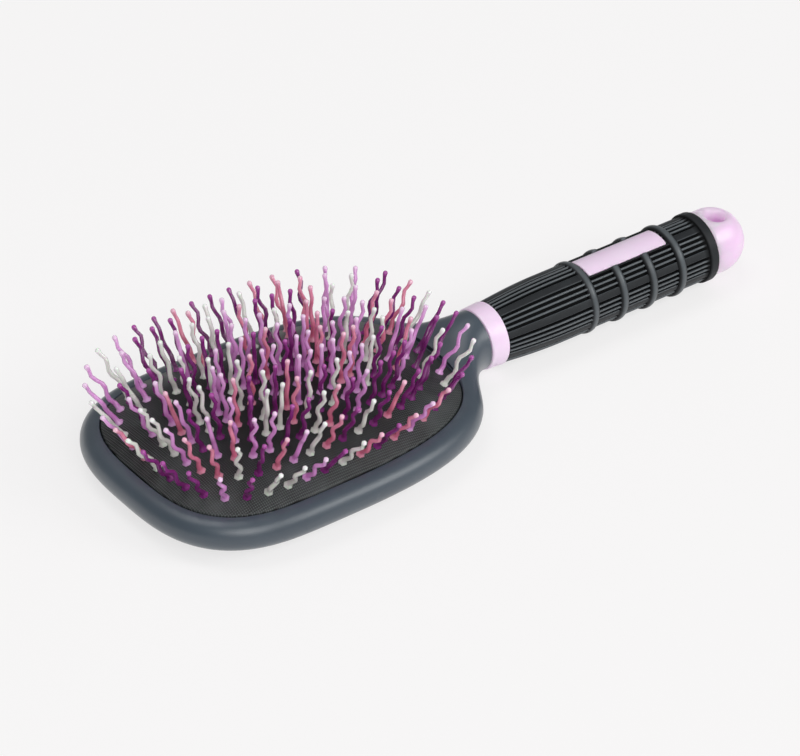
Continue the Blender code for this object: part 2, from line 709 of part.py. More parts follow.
def main():
    clear_scene()
    parts = new_collection("mane_brush")
    cutters = new_collection("cutters")
    brush = new_empty("brush_frame", (FRAME_SHIFT, 0.0, 0.0), parts)
    handle = new_empty("handle_axis", (0.0, 0.0, AXIS_HEIGHT), parts, brush)
    handle.rotation_euler.y = math.pi / 2
    carrier = new_empty("press_carrier", (0.0, 0.0, 0.0), parts, brush)
    make_head_shell(parts, cutters, brush, handle)
    make_cushion(parts, brush)
    make_pins(parts, cutters, carrier)
    make_collar(parts, handle)
    make_core(parts, handle)
    make_grip(parts, cutters, handle)
    make_plate(parts, handle)
    make_cap(parts, cutters, brush, handle)


main()
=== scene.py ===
import math
import random

import bmesh
import bpy
import numpy as np
from mathutils import Matrix, Vector


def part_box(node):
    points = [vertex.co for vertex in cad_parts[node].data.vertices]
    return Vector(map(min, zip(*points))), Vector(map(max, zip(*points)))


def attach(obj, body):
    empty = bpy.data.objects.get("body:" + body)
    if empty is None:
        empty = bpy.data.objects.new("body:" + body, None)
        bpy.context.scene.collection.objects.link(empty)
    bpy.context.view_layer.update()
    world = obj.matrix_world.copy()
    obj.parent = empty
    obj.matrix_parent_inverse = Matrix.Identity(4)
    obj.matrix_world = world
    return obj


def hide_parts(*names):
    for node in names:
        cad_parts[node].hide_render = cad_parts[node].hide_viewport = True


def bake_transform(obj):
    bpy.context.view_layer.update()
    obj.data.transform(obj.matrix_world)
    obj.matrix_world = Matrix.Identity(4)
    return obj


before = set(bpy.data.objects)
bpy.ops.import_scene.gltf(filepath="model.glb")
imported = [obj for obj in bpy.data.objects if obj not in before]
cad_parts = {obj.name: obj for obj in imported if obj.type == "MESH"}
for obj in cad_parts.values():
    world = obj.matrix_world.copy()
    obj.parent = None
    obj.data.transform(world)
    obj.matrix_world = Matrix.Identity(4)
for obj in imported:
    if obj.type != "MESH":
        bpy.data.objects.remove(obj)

# A cushioned paddle brush for manes. It lies on its back with the pins up and the head towards -X.
# Lengths are in metres. Colours are written as they look on a screen, from 0 to 255.

scene = bpy.context.scene
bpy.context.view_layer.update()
collarLow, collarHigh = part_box("collar_ring")
gripLow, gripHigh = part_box("grip_sleeve")
headLow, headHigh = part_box("head_shell")
capLow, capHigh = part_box("end_cap")
plateLow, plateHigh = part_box("name_plate")

fitGap = 0.0003                            # the clearance between pieces that touch
weldDistance = 1e-7                        # points closer than this are one
tiny = 1e-6                                # keeps a division from meeting zero
zeroX = collarHigh.x                       # the collar's face towards the grip
axisZ = (gripLow.z + gripHigh.z) / 2       # the handle's axis
neckEndX = headHigh.x
print("frame loaded with", len(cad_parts), "nodes")


# Colours and sums in a material

def linear(color):
    # a screen colour from 0 to 255 as linear light, by the standard curve of screens
    share = np.array(color) / 255
    low = share / 12.92
    high = ((share + 0.055) / 1.055) ** 2.4
    return (*np.where(share <= 0.04045, low, high), 1.0)


def maths(tree, operation, *terms, clamp=False):
    # the sum, product or difference of terms, each of which is a socket or a number
    node = tree.nodes.new("ShaderNodeMath")
    node.operation = operation
    node.use_clamp = clamp
    for socket, term in zip(node.inputs, terms):
        if isinstance(term, float):
            socket.default_value = term
        else:
            tree.links.new(term, socket)
    return node.outputs["Value"]


# Camera, floor and light

view = {
    "turn": -36.18, "rise": 35.08,         # degrees
    "distance": 1.69337, "right": -0.030247, "up": -0.015178, "clipStart": 0.01,
    "focalPixels": 5055.5, "widthPixels": 800, "sensor": 36.0,
}

studio = {
    "floorColor": (250, 249, 249), "floorSize": 30.0, "floorDrop": 0.00005, "floorRough": 0.9,
    "ownLight": 0.75, "skyStrength": 0.27,
    # name, place, size, share of the light on a level surface
    "lamps": (
        ("overhead", (-0.6, 1.0, 4.2), 2.4, 0.20),
        ("front", (-1.0, -2.7, 2.3), 2.4, 0.27),
        ("rightFront", (2.2, -2.6, 2.2), 2.0, 0.18),
    ),
}


def aimed(place, target):
    # the matrix of a camera or lamp that stands upright at place and looks at target
    back = (place - target).normalized()
    right = Vector((0, 0, 1)).cross(back).normalized()
    turned = Matrix((right, back.cross(right), back)).transposed().to_4x4()
    return Matrix.Translation(place) @ turned


def addCamera():
    # the camera stands its distance back from a target set off from the collar, right and up in the view
    turn, rise = math.radians(view["turn"]), math.radians(view["rise"])
    back = Vector((math.sin(turn) * math.cos(rise), -math.cos(turn) * math.cos(rise), math.sin(rise)))
    right = Vector((math.cos(turn), math.sin(turn), 0))
    up = back.cross(right)
    target = Vector((zeroX, 0, axisZ)) + right * view["right"] + up * view["up"]
    data = bpy.data.cameras.new("photoView")
    data.sensor_width = view["sensor"]
    data.lens = view["focalPixels"] / view["widthPixels"] * view["sensor"]
    data.clip_start = view["clipStart"]
    camera = bpy.data.objects.new("photoView", data)
    scene.collection.objects.link(camera)
    camera.matrix_world = aimed(target + back * view["distance"], target)
    scene.camera = camera


def addLamps():
    # A lamp's power grows with the cube of its distance over its height, so that each gives the floor under
    # the brush its own share of the light.
    middle = Vector((zeroX, 0, 0))
    for name, place, size, share in studio["lamps"]:
        place = Vector(place)
        reach = place - middle
        data = bpy.data.lights.new(name, "AREA")
        data.shape = "DISK"
        data.size = size
        data.energy = share * math.pi ** 2 * reach.length ** 3 / reach.z
        lamp = bpy.data.objects.new(name, data)
        scene.collection.objects.link(lamp)
        lamp.matrix_world = aimed(place, middle)
    world = bpy.data.worlds.new("studio")
    world.use_nodes = True
    sky = world.node_tree.nodes["Background"]
    sky.inputs["Color"].default_value = (1, 1, 1, 1)
    sky.inputs["Strength"].default_value = studio["skyStrength"]
    scene.world = world


def addFloor():
    # one square just under the brush
    half = studio["floorSize"] / 2
    mesh = bpy.data.meshes.new("floor")
    corners = [(x * half, y * half, -studio["floorDrop"]) for x, y in ((-1, -1), (1, -1), (1, 1), (-1, 1))]
    mesh.from_pydata(corners, [], [(0, 1, 2, 3)])
    floor = bpy.data.objects.new("floor", mesh)
    scene.collection.objects.link(floor)
    paint = bpy.data.materials.new("floorPaint")
    paint.use_nodes = True
    shader = paint.node_tree.nodes["Principled BSDF"]
    shader.inputs["Base Color"].default_value = linear(studio["floorColor"])
    shader.inputs["Roughness"].default_value = studio["floorRough"]
    shader.inputs["Specular IOR Level"].default_value = 0.0
    addOwnLight(paint.node_tree, shader)
    mesh.materials.append(paint)


def addOwnLight(tree, shader):
    # the camera and shiny surfaces see the floor partly lit by itself, so it is even and keeps a soft shadow
    path = tree.nodes.new("ShaderNodeLightPath")
    seen = maths(tree, "ADD", path.outputs["Is Camera Ray"], path.outputs["Is Glossy Ray"])
    share = maths(tree, "MULTIPLY", seen, studio["ownLight"], clamp=True)
    own = tree.nodes.new("ShaderNodeEmission")
    own.inputs["Color"].default_value = linear(studio["floorColor"])
    mixed = tree.nodes.new("ShaderNodeMixShader")
    tree.links.new(share, mixed.inputs["Fac"])
    tree.links.new(shader.outputs["BSDF"], mixed.inputs[1])
    tree.links.new(own.outputs["Emission"], mixed.inputs[2])
    tree.links.new(mixed.outputs["Shader"], tree.nodes["Material Output"].inputs["Surface"])


scene.view_settings.view_transform = "Standard"
addCamera()
addLamps()
addFloor()
print("camera, lamps and floor placed")


# Materials: in each look, deep and pale are the ends of the colour's drift, and lift and reach are in metres

driftDetail = 3.0
driftSpan = (0.3, 0.7)                     # the part of a noise's range that the colours run over
glowShares = (1.0, 0.7, 0.95)              # how far red, green and blue go, as shares of the glow's reach

slateLook = {
    "name": "slateSoftTouch", "deep": (51, 64, 76), "pale": (58, 72, 84), "driftScale": 30,
    "rough": (0.40, 0.48), "grainScale": 2600, "grainLift": 0.000015, "coat": 1.0, "coatRough": 0.4,
    "glow": 0.0, "glowReach": 0.0,
}
lilacLook = {
    "name": "lilacPlastic", "deep": (245, 218, 245), "pale": (248, 226, 249), "driftScale": 60,
    "rough": (0.32, 0.40), "grainScale": 900, "grainLift": 0.000008, "coat": 0.15, "coatRough": 0.1,
    "glow": 0.3, "glowReach": 0.002,
}
capLook = {
    "name": "clearLilac", "deep": (246, 206, 241), "pale": (249, 214, 245), "driftScale": 60,
    "rough": (0.26, 0.34), "grainScale": 900, "grainLift": 0.000008, "coat": 0.25, "coatRough": 0.1,
    "glow": 1.0, "glowReach": 0.010,
}
rubberLook = {
    # floor, land and crest colours: the near-black floor is painted shade in the grooves, the pale crest a
    # painted highlight on ribs and hoops
    "name": "blackGripRubber", "floor": (7, 8, 9), "land": (33, 36, 39), "crest": (84, 90, 94),
    "colorSpan": (0.05, 0.95), "landShare": 0.5, "hoopShare": 0.95, "hoopFocus": 3,
    "rough": (0.75, 0.30), "shine": (0.1, 0.5), "toneSway": 0.2,
    "driftScale": 90, "grainScale": 3200, "grainLift": 0.000010,
}
coreLook = {
    "name": "lilacCore", "deep": (214, 180, 212), "pale": (224, 192, 222), "driftScale": 80,
    "rough": (0.45, 0.55), "grainScale": 700, "grainLift": 0.000010, "coat": 0.0, "coatRough": 0.4,
    "glow": 0.0, "glowReach": 0.0,
}
padLook = {
    "name": "blackPadSkin", "deep": (15, 16, 17), "pale": (75, 80, 80), "colorSpan": (0.45, 1.0),
    # the tone between the pins is dimmed to this share as painted shade of the pins
    "pinShadeDim": 0.68, "rough": (0.42, 0.58), "shine": (0.2, 0.5),
    "threadPitch": 0.00075, "threadLift": 0.00014, "threadShare": 0.9,
    "threadWarp": 0.6, "threadDetail": 1.0,
    "driftScale": 55, "driftDetail": 4.0, "grainScale": 4200, "grainLift": 0.00002,
}
pinLooks = {
    # the stem's colour is the pin's own; the darker foot is painted shade among the pins, and the paler tip
    # a painted highlight in the ball
    "plum": {"foot": (104, 24, 96), "stem": (132, 42, 124), "tip": (166, 76, 156)},
    "orchid": {"foot": (200, 128, 194), "stem": (226, 168, 222), "tip": (250, 206, 242)},
    "rose": {"foot": (206, 108, 138), "stem": (232, 150, 174), "tip": (250, 188, 206)},
    "pearl": {"foot": (206, 208, 200), "stem": (230, 232, 224), "tip": (250, 251, 247)},
}
pinFinish = {
    "rough": (0.20, 0.30), "coat": 0.5, "coatRough": 0.12, "driftScale": 260, "grainLift": 0.00001,
    # the pale ring at the foot's edge is a painted highlight, the dark band above it painted shade, and the
    # pale ball a painted highlight
    "glow": 0.75, "glowReach": 0.0020, "rimShare": 0.03, "deepShare": 0.10, "ballShare": 0.93,
}


def startMaterial(name):
    # a new material with its nodes, its shader and the place on the object
    made = bpy.data.materials.new(name)
    made.use_nodes = True
    tree = made.node_tree
    place = tree.nodes.new("ShaderNodeTexCoord").outputs["Object"]
    return made, tree, tree.nodes["Principled BSDF"], place


def attribute(tree, name):
    # the number under that name that newPiece gave each point
    node = tree.nodes.new("ShaderNodeAttribute")
    node.attribute_name = name
    return node.outputs["Fac"]


def noise(tree, place, scale, detail=2.0):
    # clouds from 0 to 1, with scale of them to a metre
    node = tree.nodes.new("ShaderNodeTexNoise")
    node.inputs["Scale"].default_value = scale
    node.inputs["Detail"].default_value = detail
    tree.links.new(place, node.inputs["Vector"])
    return node.outputs["Fac"]


def mixColors(tree, share, stops, shader):
    # the colour passes through the stops as share grows: each stop is a share and a screen colour, in order
    node = tree.nodes.new("ShaderNodeValToRGB")
    ends = node.color_ramp.elements
    for end, (position, color) in zip((ends[0], ends[1]), (stops[0], stops[-1])):
        end.position = position
        end.color = linear(color)
    for position, color in stops[1:-1]:
        ends.new(position).color = linear(color)
    tree.links.new(share, node.inputs["Fac"])
    tree.links.new(node.outputs["Color"], shader.inputs["Base Color"])


def between(tree, share, low, high, target=None):
    # a number that runs from low to high as share runs from 0 to 1
    node = tree.nodes.new("ShaderNodeMapRange")
    node.inputs["To Min"].default_value = low
    node.inputs["To Max"].default_value = high
    tree.links.new(share, node.inputs["Value"])
    if target:
        tree.links.new(node.outputs["Result"], target)
    return node.outputs["Result"]


def bump(tree, height, lift, shader, before=None):
    # the surface seems raised by lift where height is 1, on top of an earlier bump
    node = tree.nodes.new("ShaderNodeBump")
    node.inputs["Distance"].default_value = lift
    tree.links.new(height, node.inputs["Height"])
    if before:
        tree.links.new(before, node.inputs["Normal"])
    tree.links.new(node.outputs["Normal"], shader.inputs["Normal"])
    return node.outputs["Normal"]


def plainFinish(look):
    # moulded plastic or rubber: the tone drifts slowly, and a fine grain changes the gloss and the surface
    made, tree, shader, place = startMaterial(look["name"])
    drift = noise(tree, place, look["driftScale"], driftDetail)
    mixColors(tree, drift, list(zip(driftSpan, (look["deep"], look["pale"]))), shader)
    grain = noise(tree, place, look["grainScale"])
    between(tree, grain, *look["rough"], shader.inputs["Roughness"])
    bump(tree, grain, look["grainLift"], shader)
    shader.inputs["Coat Weight"].default_value = look["coat"]
    shader.inputs["Coat Roughness"].default_value = look["coatRough"]
    glow(shader, look["glow"], look["glowReach"])
    return made


def gripFinish(look):
    # moulded rubber, dull in the grooves: nearly black on the groove floors as painted shade, and palest on
    # the ribs' crests as a painted highlight, with the lands between
    made, tree, shader, place = startMaterial(look["name"])
    height = attribute(tree, "paintedLightShare")
    drift = maths(tree, "SUBTRACT", noise(tree, place, look["driftScale"], driftDetail), 0.5)
    tone = maths(tree, "MULTIPLY_ADD", drift, look["toneSway"], height, clamp=True)
    low, high = look["colorSpan"]
    # painted light: from painted shade on the groove floors, through the lands, to a painted highlight on
    # the crests
    stops = [(low, look["floor"]), (look["landShare"], look["land"]), (high, look["crest"])]
    mixColors(tree, tone, stops, shader)
    between(tree, height, *look["rough"], shader.inputs["Roughness"])
    between(tree, height, *look["shine"], shader.inputs["Specular IOR Level"])
    bump(tree, noise(tree, place, look["grainScale"]), look["grainLift"], shader)
    return made


def glow(shader, weight, reach):
    # light that goes into the plastic and comes out again a little further on
    shader.inputs["Subsurface Weight"].default_value = weight
    shader.inputs["Subsurface Radius"].default_value = glowShares
    shader.inputs["Subsurface Scale"].default_value = reach


def threads(tree, place, direction, look):
    # ridges across one axis, a pitch apart; a wave texture has one ridge in 2 pi / 20 of its scaled length
    node = tree.nodes.new("ShaderNodeTexWave")
    node.bands_direction = direction
    node.inputs["Scale"].default_value = 2 * math.pi / 20 / look["threadPitch"]
    node.inputs["Distortion"].default_value = look["threadWarp"]
    node.inputs["Detail"].default_value = look["threadDetail"]
    tree.links.new(place, node.inputs["Vector"])
    return node.outputs["Fac"]


def padFinish(look):
    # Black rubber with the print of a fine cloth: two sets of ridges cross, over a slow drift of tone.
    # Between the pins the tone is dimmed as painted shade of the pins, and the specular level is lower than
    # at the edge.
    made, tree, shader, place = startMaterial(look["name"])
    weave = maths(tree, "MULTIPLY", threads(tree, place, "X", look), threads(tree, place, "Y", look))
    drift = noise(tree, place, look["driftScale"], look["driftDetail"])
    mixed = maths(tree, "MULTIPLY_ADD", weave, look["threadShare"], drift)
    edge = attribute(tree, "edgeShare")
    # painted shade of the pins: the tone is dimmed among them and full on the bare band at the edge
    dimmed = maths(tree, "MULTIPLY", mixed, between(tree, edge, look["pinShadeDim"], 1.0))
    mixColors(tree, dimmed, list(zip(look["colorSpan"], (look["deep"], look["pale"]))), shader)
    between(tree, edge, *look["shine"], shader.inputs["Specular IOR Level"])
    between(tree, weave, *look["rough"], shader.inputs["Roughness"])
    raised = bump(tree, weave, look["threadLift"], shader)
    bump(tree, noise(tree, place, look["grainScale"]), look["grainLift"], shader, raised)
    return made


def pinMaterial(name, look):
    # glossy clear nylon in the stem's colour, with painted light: a painted highlight on the flared foot's
    # edge, painted shade just above it, and a painted highlight that makes the ball palest
    made, tree, shader, place = startMaterial(name + "Pin")
    stops = [(pinFinish["rimShare"], look["stem"]), (pinFinish["deepShare"], look["foot"]),
             (pinFinish["ballShare"], look["stem"]), (1.0, look["tip"])]
    mixColors(tree, attribute(tree, "stemShare"), stops, shader)
    drift = noise(tree, place, pinFinish["driftScale"])
    between(tree, drift, *pinFinish["rough"], shader.inputs["Roughness"])
    bump(tree, drift, pinFinish["grainLift"], shader)
    shader.inputs["Coat Weight"].default_value = pinFinish["coat"]
    shader.inputs["Coat Roughness"].default_value = pinFinish["coatRough"]
    glow(shader, pinFinish["glow"], pinFinish["glowReach"])
    return made


slate = plainFinish(slateLook)
lilac = plainFinish(lilacLook)
clearLilac = plainFinish(capLook)
gripRubber = gripFinish(rubberLook)
coreLilac = plainFinish(coreLook)
padSkin = padFinish(padLook)
pinMaterials = [pinMaterial(name, look) for name, look in pinLooks.items()]
print("materials made:", len(bpy.data.materials))


# Ways of making a surface

def gridFaces(rows, columns, loop=False):
    # quads between neighbours on a grid whose rows close on themselves; loop joins the last row to the first
    row = np.arange(rows if loop else rows - 1)[:, None]
    column = np.arange(columns)[None, :]
    nextRow, nextColumn = (row + 1) % rows, (column + 1) % columns
    quads = [row * columns + column, nextRow * columns + column,
             nextRow * columns + nextColumn, row * columns + nextColumn]
    return np.stack(quads, axis=-1).reshape(-1, 4)


def newPiece(name, points, faces, materials, sharp=40, values=None, colors=None):
    # A mesh from arrays. values is an attribute's name and its number for each point, and colors gives the
    # material of each face. Points that fall together are merged, which closes poles, and faces turn out.
    mesh = bpy.data.meshes.new(name)
    mesh.from_pydata(np.reshape(points, (-1, 3)).tolist(), [], np.asarray(faces).tolist())
    if values:
        held = mesh.attributes.new(values[0], "FLOAT", "POINT")
        held.data.foreach_set("value", np.ravel(values[1]).astype(np.float32))
    if colors is not None:
        mesh.polygons.foreach_set("material_index", colors.astype(np.int32))
    work = bmesh.new()
    work.from_mesh(mesh)
    bmesh.ops.remove_doubles(work, verts=work.verts, dist=weldDistance)
    bmesh.ops.recalc_face_normals(work, faces=work.faces)
    work.to_mesh(mesh)
    work.free()
    piece = bpy.data.objects.new(name, mesh)
    scene.collection.objects.link(piece)
    for made in materials:
        mesh.materials.append(made)
    shade(piece, sharp)
    return piece


def shade(piece, sharp):
    # smooth, but for the edges that turn by more than sharp degrees
    piece.data.shade_smooth()
    piece.data.set_sharp_from_angle(angle=math.radians(sharp))


def turnedGrid(profile, count):
    # each profile point (place along X, radius) is carried round the handle's axis
    turn = np.linspace(0, 2 * math.pi, count, endpoint=False)
    place, radius = np.array(profile).T
    place, radius = place[:, None], radius[:, None]
    grids = np.broadcast_arrays(place, radius * np.sin(turn), axisZ + radius * np.cos(turn))
    return np.stack(grids, axis=-1)


def roundedCorners(corners, steps):
    # a closed outline through (x, y, radius) corners: each is an arc of its radius between its two sides
    outline = []
    for index, (x, y, radius) in enumerate(corners):
        here = np.array((x, y))
        before = np.array(corners[index - 1][:2]) - here
        after = np.array(corners[(index + 1) % len(corners)][:2]) - here
        before, after = before / np.linalg.norm(before), after / np.linalg.norm(after)
        if radius == 0:
            outline.append(here[None])
            continue
        half = math.acos(np.clip(before @ after, -1, 1)) / 2
        middle = here + (before + after) / np.linalg.norm(before + after) * radius / math.sin(half)
        start, end = here + before * radius / math.tan(half), here + after * radius / math.tan(half)
        swing = np.linspace(0, 1, steps)[:, None]
        arc = (start - middle) * np.sin((1 - swing) * (math.pi - 2 * half)) \
            + (end - middle) * np.sin(swing * (math.pi - 2 * half))
        outline.append(middle + arc / math.sin(math.pi - 2 * half))
    return np.concatenate(outline)


def cut(piece, cutter, sharp):
    # takes the cutter out of the piece for good
    step = piece.modifiers.new("cut", "BOOLEAN")
    step.operation = "DIFFERENCE"
    step.solver = "EXACT"
    step.object = cutter
    graph = bpy.context.evaluated_depsgraph_get()
    mesh = bpy.data.meshes.new_from_object(piece.evaluated_get(graph))
    piece.modifiers.clear()
    piece.data = mesh
    bpy.data.objects.remove(cutter, do_unlink=True)
    shade(piece, sharp)


def joined(first, second, reach):
    # the nearer of two distances, with a fillet of the given reach where they are alike
    share = np.clip(0.5 + 0.5 * (second - first) / reach, 0, 1)
    return second * (1 - share) + first * share - reach * share * (1 - share)


def kept(first, second, reach):
    # what lies in both solids, with a rounded edge of the given reach
    return -joined(-first, -second, reach)


def settled(points, distance, rounds=5, step=0.00002, leastSlope=0.05):
    # each point slides along the slope of the distance until the distance there is zero
    for _ in range(rounds):
        slope = np.stack([distance(points + way) - distance(points - way) for way in np.eye(3) * step],
                         axis=-1) / (2 * step)
        steepness = np.maximum((slope ** 2).sum(axis=-1), leastSlope)
        points = points - slope * (distance(points) / steepness)[..., None]
    return points


def netSurface(distance, low, high, cell):
    # The distance is read on a lattice. Each cell that has both signs holds one point, which then settles on
    # the surface, and each lattice edge whose ends differ in sign is crossed by the quad of its four cells.
    axes = [np.arange(start, end + cell, cell) for start, end in zip(low, high)]
    lattice = np.stack(np.meshgrid(*axes, indexing="ij"), axis=-1)
    inside = distance(lattice) < 0
    count = sum(inside[a:a - 1 or None, b:b - 1 or None, c:c - 1 or None].astype(int)
                for a in (0, 1) for b in (0, 1) for c in (0, 1))
    mixed = (count > 0) & (count < 8)
    number = np.full(mixed.shape, -1)
    number[mixed] = np.arange(mixed.sum())
    points = settled(lattice[:-1, :-1, :-1][mixed] + cell / 2, distance)
    faces = []
    for axis in range(3):
        lined = np.moveaxis(inside, axis, 0)
        numbers = np.moveaxis(number, axis, 0)
        change = lined[:-1, 1:-1, 1:-1] != lined[1:, 1:-1, 1:-1]
        around = [numbers[:, :-1, :-1], numbers[:, 1:, :-1], numbers[:, 1:, 1:], numbers[:, :-1, 1:]]
        faces.append(np.stack([part[change] for part in around], axis=-1))
    return points, np.concatenate(faces)


# Plan of the head: the pad opening is a superellipse with a short front half and a long back half

plan = {
    "frontReach": 0.0422, "backReach": 0.0750, "halfWidth": 0.0425, "cornerPower": 3.05,
    "rimWidth": 0.0067, "rimTop": 0.0152, "samples": 1440,
}
padFrontX = headLow.x + plan["rimWidth"]
widestX = padFrontX + plan["frontReach"]
padBackX = widestX + plan["backReach"]
padMiddleX = (padFrontX + padBackX) / 2


def openingPlan(inset, samples):
    # the pad opening drawn in by inset, from its back end round by +Y
    turn = np.linspace(0, 2 * math.pi, samples, endpoint=False)
    power = 2 / plan["cornerPower"]
    along = np.sign(np.cos(turn)) * np.abs(np.cos(turn)) ** power
    across = np.sign(np.sin(turn)) * np.abs(np.sin(turn)) ** power
    reach = np.where(along > 0, plan["backReach"], plan["frontReach"]) - inset
    return np.column_stack([widestX + reach * along, (plan["halfWidth"] - inset) * across])


def spaced(points, count, firstShare=0.0):
    # points an equal way apart on a closed curve, the first a share of a step on from the curve's start
    steps = np.linalg.norm(np.roll(points, -1, axis=0) - points, axis=1)
    way = np.concatenate([[0], np.cumsum(steps)])
    closed = np.concatenate([points, points[:1]])
    wanted = (np.arange(count) + firstShare) * way[-1] / count
    return np.column_stack([np.interp(wanted, way, closed[:, 0]), np.interp(wanted, way, closed[:, 1])])


def grown(points, width):
    # a closed curve moved outwards along its own normals
    tangent = np.roll(points, -1, axis=0) - np.roll(points, 1, axis=0)
    normal = np.column_stack([tangent[:, 1], -tangent[:, 0]])
    return points + normal / np.linalg.norm(normal, axis=1)[:, None] * width


def openingDistance(x, y):
    # distance from the opening's edge, worked out from the superellipse's value over its slope
    power = plan["cornerPower"]
    reach = np.where(x > widestX, plan["backReach"], plan["frontReach"])
    along = np.abs(x - widestX) / reach
    across = np.abs(y) / plan["halfWidth"]
    value = np.maximum((along ** power + across ** power) ** (1 / power), tiny)
    slope = np.hypot((along / value) ** (power - 1) / reach,
                     (across / value) ** (power - 1) / plan["halfWidth"])
    return (value - 1) / slope


# Head shell with its neck

head = {
    "edgeThickness": 0.0112, "backCrown": 0.00419, "crownOuter": 0.00255, "crownInner": 0.0220,
    "crownPower": 1.6, "lipThickness": 0.0022, "lipRound": 0.0005, "grooveDepth": 0.0015,
    "flangeRoom": 0.0022, "ledge": 0.0016, "wall": 0.0020, "floorThickness": 0.0030,
    "neckRootX": -0.0262, "neckHalfWidth": 0.0275, "neckFlare": 1.68, "neckRadius": 0.0105,
    "neckRootHalfHeight": 0.0054, "neckFillet": 0.0045, "neckOverrun": 0.004,
    "socketRadius": 0.0048, "socketDepth": 0.0063, "cutOverrun": 0.012, "lipTurn": 80, "lipSteps": 5,
    "cell": 0.0010, "margin": 2, "planSides": 360, "boreSides": 96, "sharp": 40,
}


def headDistance(points):
    # Rim: a round edge about a line that runs a little outside the opening, filled flat inside it.
    # Back: a crown that eases from the rim's underside down to a flat rest face.
    # Neck: ellipses that narrow from a wide root to the collar's circle, joined on with a fillet.
    x, y, z = points[..., 0], points[..., 1], points[..., 2]
    edge = openingDistance(x, y)
    radius = head["edgeThickness"] / 2
    side = plan["rimTop"] - radius
    rim = np.hypot(np.maximum(edge - plan["rimWidth"] + radius, 0), z - side) - radius
    share = np.clip((edge + head["crownInner"]) / (head["crownOuter"] + head["crownInner"]), 0, 1)
    back = np.maximum.reduce([head["backCrown"] * share ** head["crownPower"] - z, z - side,
                              edge - head["crownOuter"]])
    rootX = zeroX + head["neckRootX"]
    share = np.clip((x - rootX) / (neckEndX - rootX), 0, 1)
    flare = (1 - share) ** head["neckFlare"]
    halfWidth = head["neckRadius"] + (head["neckHalfWidth"] - head["neckRadius"]) * flare
    halfHeight = head["neckRadius"] + (head["neckRootHalfHeight"] - head["neckRadius"]) * flare
    middle = axisZ + (side - axisZ) * flare
    across, above = y / halfWidth, (z - middle) / halfHeight
    value = np.maximum(np.hypot(across, above), tiny)
    slope = np.hypot(across / value / halfWidth, above / value / halfHeight)
    neck = np.maximum.reduce([(value - 1) / np.maximum(slope, tiny), rootX - x,
                              x - neckEndX - head["neckOverrun"]])
    return joined(np.minimum(rim, back), neck, head["neckFillet"])


def trayCutter():
    # The room for the cushion, as rings from above down: a rounded lip, a groove for the pad's flange, the
    # ledge under it, and a floor that follows the back.
    edge = spaced(openingPlan(0, plan["samples"]), head["planSides"])
    top = plan["rimTop"]
    bend, lip = head["lipRound"], top - head["lipThickness"]
    turn = np.linspace(math.radians(head["lipTurn"]), 0, head["lipSteps"])
    rows = [(bend * (1 - math.cos(turn[0])), top + head["cutOverrun"])]
    rows += [(bend * (1 - math.cos(angle)), top - bend + bend * math.sin(angle)) for angle in turn]
    floor = head["backCrown"] + head["wall"]
    rows += [(0, lip), (head["grooveDepth"], lip), (head["grooveDepth"], lip - head["flangeRoom"]),
             (-head["ledge"], lip - head["flangeRoom"]), (-head["ledge"], floor)]
    rings = [np.column_stack([grown(edge, width), np.full(len(edge), height)]) for width, height in rows]
    inner = spaced(openingPlan(head["crownInner"], plan["samples"]), head["planSides"])
    rings.append(np.column_stack([inner, np.full(len(inner), head["floorThickness"])]))
    poles = [np.broadcast_to((padMiddleX, 0, ring[0, 2]), ring.shape) for ring in (rings[0], rings[-1])]
    rings = [poles[0], *rings, poles[1]]
    return newPiece("trayCutter", rings, gridFaces(len(rings), head["planSides"]), [slate])


def neckCutter():
    # a turned shape that trims the neck square at the collar and bores the socket for the core's spigot
    far, wide = neckEndX + head["cutOverrun"], head["neckHalfWidth"]
    bore, end = head["socketRadius"], neckEndX - head["socketDepth"]
    profile = [(far, 0), (far, wide), (neckEndX, wide), (neckEndX, bore), (end, bore), (end, 0)]
    return newPiece("neckCutter", turnedGrid(profile, head["boreSides"]),
                    gridFaces(len(profile), head["boreSides"]), [slate])


def makeHead():
    # the surface of the head and neck, less the cushion's room, and trimmed and bored at the collar
    reach = Vector((1, 1, 1)) * head["margin"] * head["cell"]
    low, high = headLow - reach, Vector((neckEndX + head["neckOverrun"], headHigh.y, headHigh.z)) + reach
    points, faces = netSurface(headDistance, low, high, head["cell"])
    piece = newPiece("headAndNeck", points, faces, [slate])
    for cutter in (trayCutter(), neckCutter()):
        cut(piece, cutter, head["sharp"])
    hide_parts("head_shell")
    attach(piece, "brush_body")
    print("head made:", len(piece.data.polygons), "faces")


makeHead()


# Rubber cushion

pad = {
    "crown": 0.0095, "crownPower": 3.0, "thickness": 0.0030, "edgeRound": 0.0004,
    "bandInsets": (0.0003, 0.0004, 0.0006, 0.0009, 0.0014, 0.0021, 0.0030, 0.0040, 0.0052),
    "flangeReach": 0.0012, "flangeTop": 0.0127, "flangeBottom": 0.0111,
    "columns": 300, "domeRows": 38, "underRows": 12, "sharp": 60, "fill": 0.85, "pressBand": 0.0026,
    "shadeFullTo": 0.50, "unshadedFrom": 0.88,    # shares of the way to the edge, between which the painted shade of the pins fades out
}
edgeFromMiddle = openingPlan(0, plan["samples"]) - (padMiddleX, 0)
edgeTurn = np.arctan2(edgeFromMiddle[:, 1], edgeFromMiddle[:, 0])
edgeOrder = np.argsort(edgeTurn)


def edgeShare(x, y):
    # the share of the way from the pad's middle to its edge
    reach = np.interp(np.arctan2(y, x - padMiddleX), edgeTurn[edgeOrder],
                      np.hypot(*edgeFromMiddle.T)[edgeOrder], period=2 * math.pi)
    return np.clip(np.hypot(y, x - padMiddleX) / reach, 0, 1)


def domeHeight(x, y):
    # the crown falls with a power of the share of the way to the edge
    return plan["rimTop"] + pad["crown"] * (1 - edgeShare(x, y) ** pad["crownPower"])


